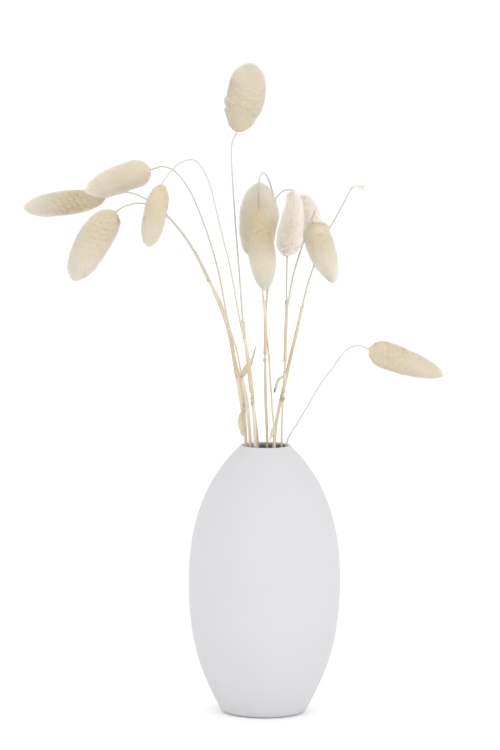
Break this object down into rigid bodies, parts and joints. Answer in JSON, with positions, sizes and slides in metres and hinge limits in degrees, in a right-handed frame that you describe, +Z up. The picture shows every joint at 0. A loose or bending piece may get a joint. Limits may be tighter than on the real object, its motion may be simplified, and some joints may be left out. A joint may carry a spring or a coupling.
{
  "type": "vase of dried grass",
  "caption": "Egg-shaped matt ceramic vase holding dried bunny tail grass: thin arching straw stems with soft furry oval seed heads.",
  "frame": {"origin": "centre of the vase's foot, on the surface it stands on", "axes": "+Z is up, along the vase's axis; -Y faces the viewer of the picture; +X is the viewer's right"},
  "size_m": [0.2877, 0.1663, 0.445],
  "materials": {
    "matt_ceramic": "matt unglazed white, slightly cool",
    "straw": "dry grass stems and leaf sheaths, satin, straw to olive brown",
    "fur_warm": "soft dry hairs, warm tan at the core and ivory at the tips",
    "fur_pale": "soft dry hairs, pale cream to grey ivory"
  },
  "bodies": {
    "root": {"head_centre_lower": "fur_warm", "head_centre_upper": "fur_warm", "head_far_left": "fur_warm", "head_far_right": "fur_warm", "head_lower_left": "fur_warm", "head_right_back": "fur_pale", "head_right_front": "fur_warm", "head_right_pale": "fur_pale", "head_small_left": "fur_warm", "head_top": "fur_pale", "head_upper_left": "fur_pale", "stem_bare_tip": "straw", "stem_centre_lower": "straw", "stem_centre_upper": "straw", "stem_far_left": "straw", "stem_far_right": "straw", "stem_lower_left": "straw", "stem_right_back": "straw", "stem_right_front": "straw", "stem_right_pale": "straw", "stem_small_left": "straw", "stem_top": "straw", "stem_upper_left": "straw", "vase": "matt_ceramic"}
  },
  "joints": []
}
